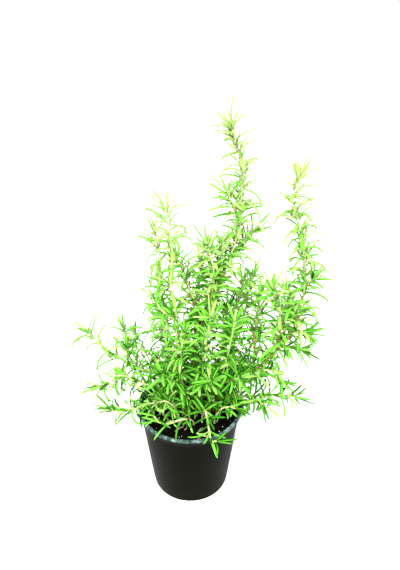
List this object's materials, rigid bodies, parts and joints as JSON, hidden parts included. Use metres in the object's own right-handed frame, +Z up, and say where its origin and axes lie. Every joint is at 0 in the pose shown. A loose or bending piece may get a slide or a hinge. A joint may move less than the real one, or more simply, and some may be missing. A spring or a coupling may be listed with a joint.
{
  "type": "potted rosemary plant",
  "caption": "Rosemary with upright and arching leafy stems, rooted in dark soil in a tapered round black plastic nursery pot with a rolled lip and drainage holes.",
  "frame": {"origin": "centre of the pot's flat underside", "axes": "+Z up along the pot's axis, -Y towards the plant's front, +X to the right seen from the front"},
  "size_m": [0.2671, 0.1921, 0.4426],
  "materials": {
    "pot_plastic": "satin",
    "potting_soil": "matte",
    "rosemary_foliage": "satin"
  },
  "bodies": {
    "root": {"pot": "pot_plastic", "soil": "potting_soil", "centre_leader": "rosemary_foliage", "left_leader": "rosemary_foliage", "left_back_stem": "rosemary_foliage", "right_leader": "rosemary_foliage", "mid_right_stem": "rosemary_foliage", "long_left_stem": "rosemary_foliage", "upper_left_stem": "rosemary_foliage", "middle_left_stem": "rosemary_foliage", "low_left_stem": "rosemary_foliage", "front_left_stem": "rosemary_foliage", "front_trailer": "rosemary_foliage", "front_right_stem": "rosemary_foliage", "low_right_stem": "rosemary_foliage", "arching_right_stem": "rosemary_foliage", "inner_left_stem": "rosemary_foliage", "inner_front_stem": "rosemary_foliage", "inner_right_stem": "rosemary_foliage", "back_left_stem": "rosemary_foliage", "back_right_stem": "rosemary_foliage", "back_upright_stem": "rosemary_foliage", "low_back_left_stem": "rosemary_foliage", "low_back_right_stem": "rosemary_foliage", "back_trailer": "rosemary_foliage"}
  },
  "joints": []
}
